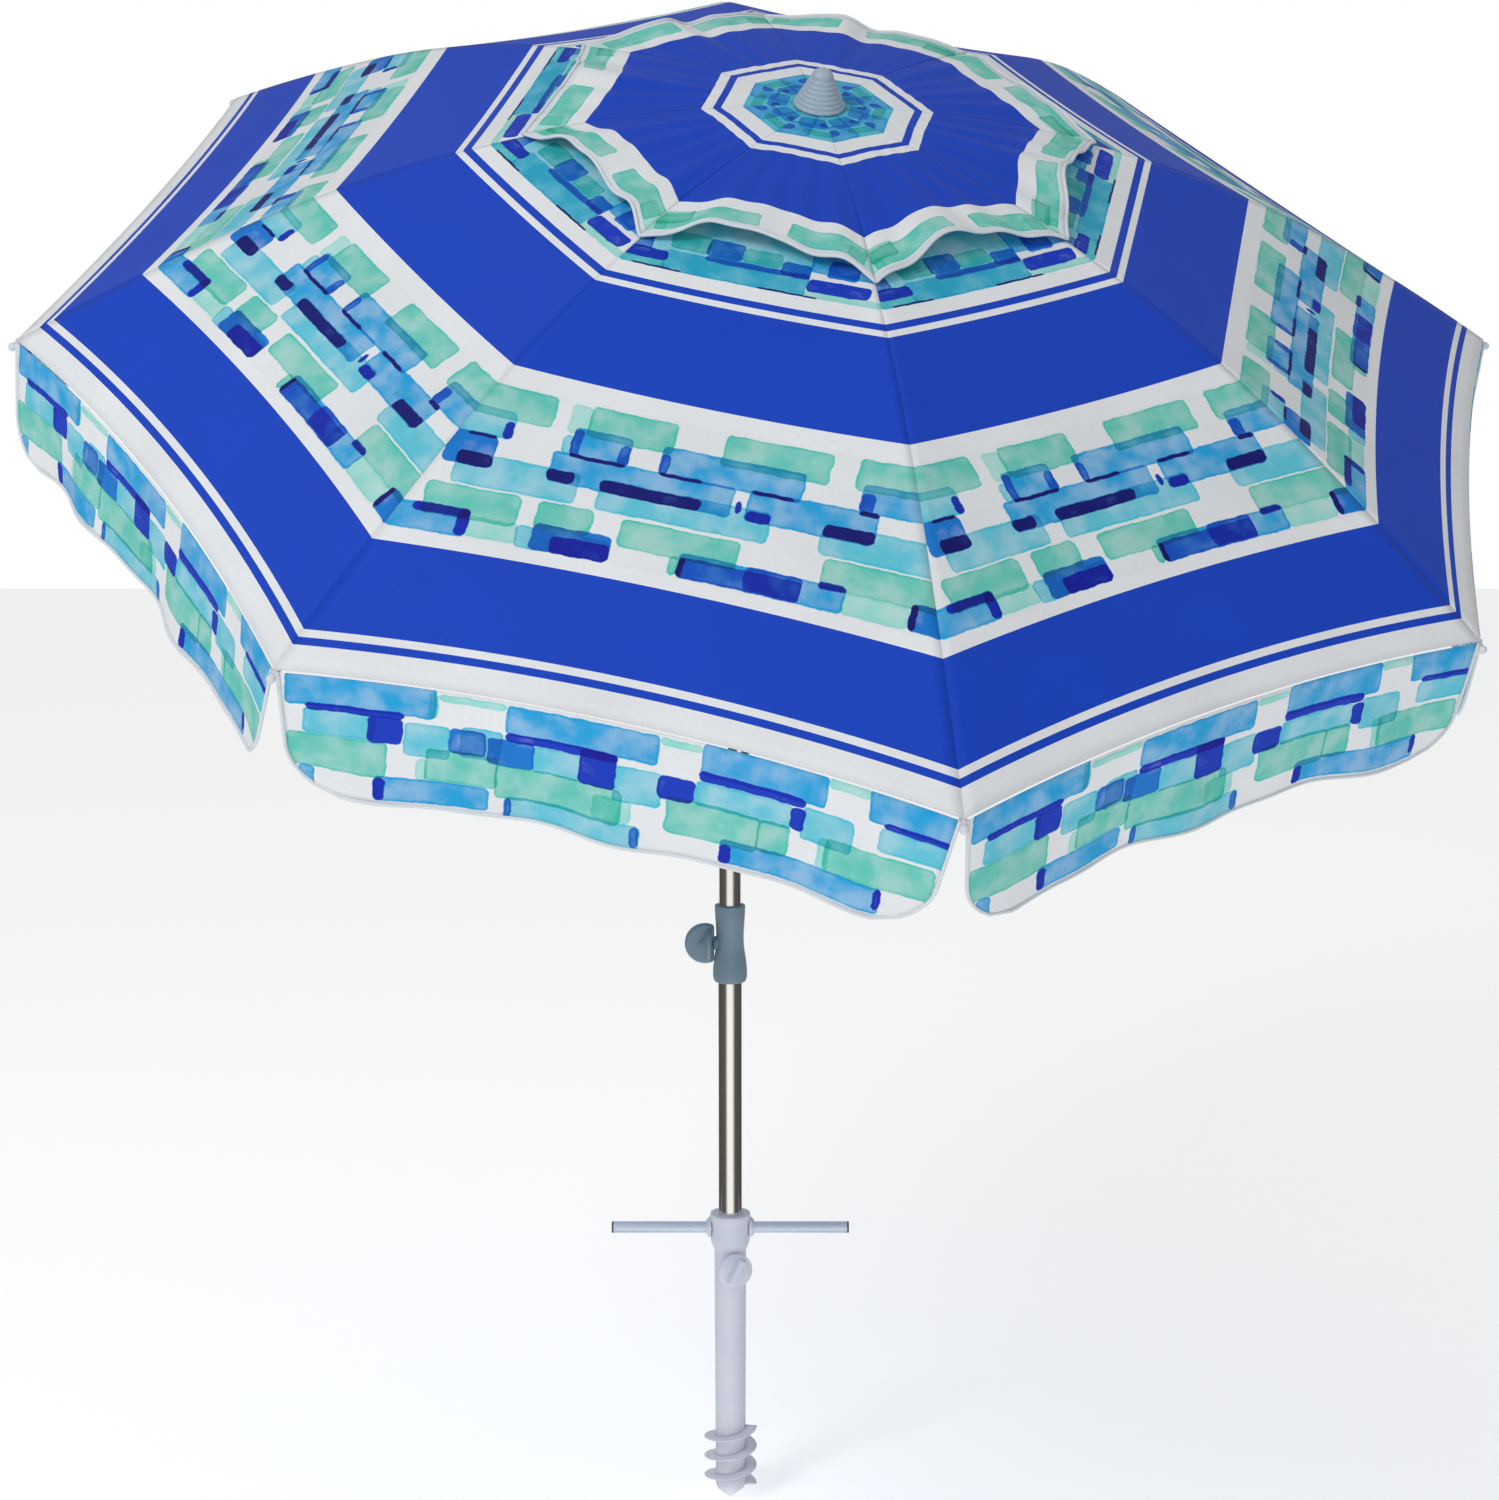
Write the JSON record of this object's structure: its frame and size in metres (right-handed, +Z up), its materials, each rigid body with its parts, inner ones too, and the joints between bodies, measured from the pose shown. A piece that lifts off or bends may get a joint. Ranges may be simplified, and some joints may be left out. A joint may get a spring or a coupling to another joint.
{
  "type": "beach umbrella",
  "caption": "Tilting beach umbrella with a vented, printed folding canopy with hanging flaps, a telescoping pole and a screw-in sand anchor with a cross bar.",
  "frame": {"origin": "tip of the sand anchor's screw, on the lower pole's axis", "axes": "+Z up along the lower pole, -Y towards the front, where the canopy leans, +X along the cross bar to the right"},
  "size_m": [1.8933, 1.6923, 2.1979],
  "materials": {
    "canopy_cloth": "woven polyester printed with royal blue bands and a watercolour block print in mint, aqua and sky blue",
    "valance_cloth": "woven polyester printed with watercolour blocks",
    "vent_cloth": "woven polyester, royal blue with a printed border",
    "rib_steel": "white-grey coated rods",
    "anchor_plastic": "moulded pale lavender-white plastic",
    "pole_tube": "satin champagne anodised tube",
    "grey_plastic": "moulded slate grey plastic",
    "bar_tube": "pale grey-blue coated tube",
    "plug_plastic": "dark grey plastic",
    "brass_insert": "plain brass",
    "hardware_steel": "zinc plated steel"
  },
  "bodies": {
    "anchor": {"anchor_tube": "anchor_plastic", "anchor_auger": "anchor_plastic", "lower_pole": "pole_tube", "pole_foot_plug": "plug_plastic", "height_clamp": "grey_plastic", "clamp_insert": "brass_insert"},
    "handle_bar": {"handle_bar": "bar_tube", "handle_bar_caps": "plug_plastic"},
    "anchor_knob": {"anchor_knob": "anchor_plastic", "anchor_knob_screw": "hardware_steel"},
    "height_knob": {"height_knob": "grey_plastic", "height_knob_screw": "hardware_steel"},
    "middle_pole": {"middle_pole": "pole_tube", "middle_pole_bush": "plug_plastic", "tilt_socket": "grey_plastic", "tilt_button_spring": "hardware_steel"},
    "tilt_button": {"tilt_button": "hardware_steel"},
    "upper_pole": {"tilt_tongue": "grey_plastic", "tilt_pin": "hardware_steel", "upper_pole": "pole_tube", "top_notch": "grey_plastic", "notch_ring_wire": "hardware_steel", "finial": "grey_plastic", "vent_canopy": "vent_cloth"},
    "runner": {"runner": "grey_plastic"},
    "runner_catch": {"runner_catch": "hardware_steel"},
    "rib_1": {"rib_1": "rib_steel"},
    "stretcher_1": {"stretcher_1": "rib_steel"},
    "rib_2": {"rib_2": "rib_steel"},
    "stretcher_2": {"stretcher_2": "rib_steel"},
    "rib_3": {"rib_3": "rib_steel"},
    "stretcher_3": {"stretcher_3": "rib_steel"},
    "rib_4": {"rib_4": "rib_steel"},
    "stretcher_4": {"stretcher_4": "rib_steel"},
    "rib_5": {"rib_5": "rib_steel"},
    "stretcher_5": {"stretcher_5": "rib_steel"},
    "rib_6": {"rib_6": "rib_steel"},
    "stretcher_6": {"stretcher_6": "rib_steel"},
    "rib_7": {"rib_7": "rib_steel"},
    "stretcher_7": {"stretcher_7": "rib_steel"},
    "rib_8": {"rib_8": "rib_steel"},
    "stretcher_8": {"stretcher_8": "rib_steel"},
    "panel_1": {"panel_1": "canopy_cloth"},
    "valance_1": {"valance_1": "valance_cloth"},
    "panel_2": {"panel_2": "canopy_cloth"},
    "valance_2": {"valance_2": "valance_cloth"},
    "panel_3": {"panel_3": "canopy_cloth"},
    "valance_3": {"valance_3": "valance_cloth"},
    "panel_4": {"panel_4": "canopy_cloth"},
    "valance_4": {"valance_4": "valance_cloth"},
    "panel_5": {"panel_5": "canopy_cloth"},
    "valance_5": {"valance_5": "valance_cloth"},
    "panel_6": {"panel_6": "canopy_cloth"},
    "valance_6": {"valance_6": "valance_cloth"},
    "panel_7": {"panel_7": "canopy_cloth"},
    "valance_7": {"valance_7": "valance_cloth"},
    "panel_8": {"panel_8": "canopy_cloth"},
    "valance_8": {"valance_8": "valance_cloth"}
  },
  "joints": [
    {"name": "handle_bar_slide", "type": "slide", "parent": "anchor", "child": "handle_bar", "axis": [1, 0, 0], "range_m": [-0.11, 0.11]},
    {"name": "anchor_knob_turn", "type": "hinge", "parent": "anchor", "child": "anchor_knob", "pos_m": [0, 0, 0.364], "axis": [0.2419, -0.9703, 0], "range_deg": [0, 450]},
    {"name": "height_knob_turn", "type": "hinge", "parent": "anchor", "child": "height_knob", "pos_m": [0, 0, 0.851], "axis": [-1, 0, 0], "range_deg": [0, 450]},
    {"name": "pole_height", "type": "slide", "parent": "anchor", "child": "middle_pole", "axis": [0, 0, 1], "range_m": [-0.06, 0.2]},
    {"name": "tilt_button_press", "type": "slide", "parent": "middle_pole", "child": "tilt_button", "axis": [-0.2002, 0.9798, 0], "range_m": [0, 0.003], "stiffness_N_per_m": 400, "springref_m": -0.008, "deforming": ["tilt_button_spring"]},
    {"name": "head_tilt", "type": "hinge", "parent": "middle_pole", "child": "upper_pole", "pos_m": [0, 0, 1.0335], "axis": [0.9798, 0.2002, 0], "range_deg": [-30, 0]},
    {"name": "runner_catch_press", "type": "slide", "parent": "upper_pole", "child": "runner_catch", "axis": [-0.5351, 0.7073, 0.4619], "range_m": [0, 0.0045], "stiffness_N_per_m": 300, "springref_m": -0.004},
    {"name": "canopy_fold", "type": "slide", "parent": "upper_pole", "child": "runner", "axis": [-0.1001, 0.4899, -0.866], "range_m": [0, 0.54086], "deforming": ["vent_canopy", "runner_catch", "panel_1", "valance_1", "panel_2", "valance_2", "panel_3", "valance_3", "panel_4", "valance_4", "panel_5", "valance_5", "panel_6", "valance_6", "panel_7", "valance_7", "panel_8", "valance_8"]},
    {"name": "rib_1_fold", "type": "hinge", "parent": "upper_pole", "child": "rib_1", "pos_m": [0.11436, -0.55961, 1.9788], "axis": [0.9798, 0.2002, 0], "range_deg": [0, 69.66]},
    {"name": "stretcher_1_fold", "type": "hinge", "parent": "rib_1", "child": "stretcher_1", "pos_m": [0.17598, -0.86111, 1.72342], "axis": [0.9798, 0.2002, 0], "range_deg": [-120.56, 0]},
    {"name": "rib_2_fold", "type": "hinge", "parent": "upper_pole", "child": "rib_2", "pos_m": [0.12849, -0.55102, 1.98202], "axis": [0.5702, 0.7416, 0.3536], "range_deg": [0, 69.66]},
    {"name": "stretcher_2_fold", "type": "hinge", "parent": "rib_2", "child": "stretcher_2", "pos_m": [0.44317, -0.69875, 1.78437], "axis": [0.5702, 0.7416, 0.3536], "range_deg": [-120.56, 0]},
    {"name": "rib_3_fold", "type": "hinge", "parent": "upper_pole", "child": "rib_3", "pos_m": [0.1321, -0.53653, 1.9898], "axis": [-0.1734, 0.8485, 0.5], "range_deg": [0, 69.66]},
    {"name": "stretcher_3_fold", "type": "hinge", "parent": "rib_3", "child": "stretcher_3", "pos_m": [0.51157, -0.42464, 1.93152], "axis": [-0.1734, 0.8485, 0.5], "range_deg": [-120.56, 0]},
    {"name": "rib_4_fold", "type": "hinge", "parent": "upper_pole", "child": "rib_4", "pos_m": [0.12309, -0.52463, 1.99758], "axis": [-0.8154, 0.4584, 0.3536], "range_deg": [0, 69.66]},
    {"name": "stretcher_4_fold", "type": "hinge", "parent": "rib_4", "child": "stretcher_4", "pos_m": [0.34111, -0.19934, 2.07867], "axis": [-0.8154, 0.4584, 0.3536], "range_deg": [-120.56, 0]},
    {"name": "rib_5_fold", "type": "hinge", "parent": "upper_pole", "child": "rib_5", "pos_m": [0.10673, -0.52227, 2.0008], "axis": [-0.9798, -0.2002, 0], "range_deg": [0, 69.66]},
    {"name": "stretcher_5_fold", "type": "hinge", "parent": "rib_5", "child": "stretcher_5", "pos_m": [0.03164, -0.15484, 2.13962], "axis": [-0.9798, -0.2002, 0], "range_deg": [-120.56, 0]},
    {"name": "rib_6_fold", "type": "hinge", "parent": "upper_pole", "child": "rib_6", "pos_m": [0.09261, -0.53085, 1.99758], "axis": [-0.5702, -0.7416, -0.3536], "range_deg": [0, 69.66]},
    {"name": "stretcher_6_fold", "type": "hinge", "parent": "rib_6", "child": "stretcher_6", "pos_m": [-0.23555, -0.31719, 2.07867], "axis": [-0.5702, -0.7416, -0.3536], "range_deg": [-120.56, 0]},
    {"name": "rib_7_fold", "type": "hinge", "parent": "upper_pole", "child": "rib_7", "pos_m": [0.08899, -0.54534, 1.9898], "axis": [0.1734, -0.8485, -0.5], "range_deg": [0, 69.66]},
    {"name": "stretcher_7_fold", "type": "hinge", "parent": "rib_7", "child": "stretcher_7", "pos_m": [-0.30395, -0.5913, 1.93152], "axis": [0.1734, -0.8485, -0.5], "range_deg": [-120.56, 0]},
    {"name": "rib_8_fold", "type": "hinge", "parent": "upper_pole", "child": "rib_8", "pos_m": [0.098, -0.55725, 1.98202], "axis": [0.8154, -0.4584, -0.3536], "range_deg": [0, 69.66]},
    {"name": "stretcher_8_fold", "type": "hinge", "parent": "rib_8", "child": "stretcher_8", "pos_m": [-0.13349, -0.8166, 1.78437], "axis": [0.8154, -0.4584, -0.3536], "range_deg": [-120.56, 0]},
    {"name": "panel_1_fold", "type": "hinge", "parent": "upper_pole", "child": "panel_1", "pos_m": [0.12142, -0.55532, 1.98041], "axis": [0.8388, 0.5097, 0.1913], "range_deg": [0, 69.66]},
    {"name": "valance_1_hang", "type": "hinge", "parent": "panel_1", "child": "valance_1", "pos_m": [0.54915, -1.00966, 1.31556], "axis": [0.8388, 0.5097, 0.1913], "range_deg": [-69.66, 0]},
    {"name": "panel_2_fold", "type": "hinge", "parent": "upper_pole", "child": "panel_2", "pos_m": [0.13029, -0.54378, 1.98591], "axis": [0.2147, 0.8605, 0.4619], "range_deg": [0, 69.66]},
    {"name": "valance_2_hang", "type": "hinge", "parent": "panel_2", "child": "valance_2", "pos_m": [0.93217, -0.51152, 1.55306], "axis": [0.2147, 0.8605, 0.4619], "range_deg": [-69.66, 0]},
    {"name": "panel_3_fold", "type": "hinge", "parent": "upper_pole", "child": "panel_3", "pos_m": [0.1276, -0.53058, 1.99369], "axis": [-0.5351, 0.7073, 0.4619], "range_deg": [0, 69.66]},
    {"name": "valance_3_hang", "type": "hinge", "parent": "panel_3", "child": "valance_3", "pos_m": [0.81569, 0.05846, 1.88893], "axis": [-0.5351, 0.7073, 0.4619], "range_deg": [-69.66, 0]},
    {"name": "panel_4_fold", "type": "hinge", "parent": "upper_pole", "child": "panel_4", "pos_m": [0.11491, -0.52345, 1.99919], "axis": [-0.9715, 0.1397, 0.1913], "range_deg": [0, 69.66]},
    {"name": "valance_4_hang", "type": "hinge", "parent": "panel_4", "child": "valance_4", "pos_m": [0.26794, 0.36638, 2.12643], "axis": [-0.9715, 0.1397, 0.1913], "range_deg": [-69.66, 0]},
    {"name": "panel_5_fold", "type": "hinge", "parent": "upper_pole", "child": "panel_5", "pos_m": [0.09967, -0.52656, 1.99919], "axis": [-0.8388, -0.5097, -0.1913], "range_deg": [0, 69.66]},
    {"name": "valance_5_hang", "type": "hinge", "parent": "panel_5", "child": "valance_5", "pos_m": [-0.39021, 0.23188, 2.12643], "axis": [-0.8388, -0.5097, -0.1913], "range_deg": [-69.66, 0]},
    {"name": "panel_6_fold", "type": "hinge", "parent": "upper_pole", "child": "panel_6", "pos_m": [0.0908, -0.5381, 1.99369], "axis": [-0.2147, -0.8605, -0.4619], "range_deg": [0, 69.66]},
    {"name": "valance_6_hang", "type": "hinge", "parent": "panel_6", "child": "valance_6", "pos_m": [-0.77322, -0.26626, 1.88893], "axis": [-0.2147, -0.8605, -0.4619], "range_deg": [-69.66, 0]},
    {"name": "panel_7_fold", "type": "hinge", "parent": "upper_pole", "child": "panel_7", "pos_m": [0.0935, -0.5513, 1.98591], "axis": [0.5351, -0.7073, -0.4619], "range_deg": [0, 69.66]},
    {"name": "valance_7_hang", "type": "hinge", "parent": "panel_7", "child": "valance_7", "pos_m": [-0.65674, -0.83623, 1.55306], "axis": [0.5351, -0.7073, -0.4619], "range_deg": [-69.66, 0]},
    {"name": "panel_8_fold", "type": "hinge", "parent": "upper_pole", "child": "panel_8", "pos_m": [0.10618, -0.55843, 1.98041], "axis": [0.9715, -0.1397, -0.1913], "range_deg": [0, 69.66]},
    {"name": "valance_8_hang", "type": "hinge", "parent": "panel_8", "child": "valance_8", "pos_m": [-0.109, -1.14416, 1.31556], "axis": [0.9715, -0.1397, -0.1913], "range_deg": [-69.66, 0]}
  ],
  "couplings": [
    {"joint": "rib_1_fold", "follows": "canopy_fold", "rad_per_m": 2.248},
    {"joint": "stretcher_1_fold", "follows": "canopy_fold", "rad_per_m": -3.8904},
    {"joint": "rib_2_fold", "follows": "canopy_fold", "rad_per_m": 2.248},
    {"joint": "stretcher_2_fold", "follows": "canopy_fold", "rad_per_m": -3.8904},
    {"joint": "rib_3_fold", "follows": "canopy_fold", "rad_per_m": 2.248},
    {"joint": "stretcher_3_fold", "follows": "canopy_fold", "rad_per_m": -3.8904},
    {"joint": "rib_4_fold", "follows": "canopy_fold", "rad_per_m": 2.248},
    {"joint": "stretcher_4_fold", "follows": "canopy_fold", "rad_per_m": -3.8904},
    {"joint": "rib_5_fold", "follows": "canopy_fold", "rad_per_m": 2.248},
    {"joint": "stretcher_5_fold", "follows": "canopy_fold", "rad_per_m": -3.8904},
    {"joint": "rib_6_fold", "follows": "canopy_fold", "rad_per_m": 2.248},
    {"joint": "stretcher_6_fold", "follows": "canopy_fold", "rad_per_m": -3.8904},
    {"joint": "rib_7_fold", "follows": "canopy_fold", "rad_per_m": 2.248},
    {"joint": "stretcher_7_fold", "follows": "canopy_fold", "rad_per_m": -3.8904},
    {"joint": "rib_8_fold", "follows": "canopy_fold", "rad_per_m": 2.248},
    {"joint": "stretcher_8_fold", "follows": "canopy_fold", "rad_per_m": -3.8904},
    {"joint": "panel_1_fold", "follows": "canopy_fold", "rad_per_m": 2.248},
    {"joint": "valance_1_hang", "follows": "canopy_fold", "rad_per_m": -2.248},
    {"joint": "panel_2_fold", "follows": "canopy_fold", "rad_per_m": 2.248},
    {"joint": "valance_2_hang", "follows": "canopy_fold", "rad_per_m": -2.248},
    {"joint": "panel_3_fold", "follows": "canopy_fold", "rad_per_m": 2.248},
    {"joint": "valance_3_hang", "follows": "canopy_fold", "rad_per_m": -2.248},
    {"joint": "panel_4_fold", "follows": "canopy_fold", "rad_per_m": 2.248},
    {"joint": "valance_4_hang", "follows": "canopy_fold", "rad_per_m": -2.248},
    {"joint": "panel_5_fold", "follows": "canopy_fold", "rad_per_m": 2.248},
    {"joint": "valance_5_hang", "follows": "canopy_fold", "rad_per_m": -2.248},
    {"joint": "panel_6_fold", "follows": "canopy_fold", "rad_per_m": 2.248},
    {"joint": "valance_6_hang", "follows": "canopy_fold", "rad_per_m": -2.248},
    {"joint": "panel_7_fold", "follows": "canopy_fold", "rad_per_m": 2.248},
    {"joint": "valance_7_hang", "follows": "canopy_fold", "rad_per_m": -2.248},
    {"joint": "panel_8_fold", "follows": "canopy_fold", "rad_per_m": 2.248},
    {"joint": "valance_8_hang", "follows": "canopy_fold", "rad_per_m": -2.248}
  ]
}
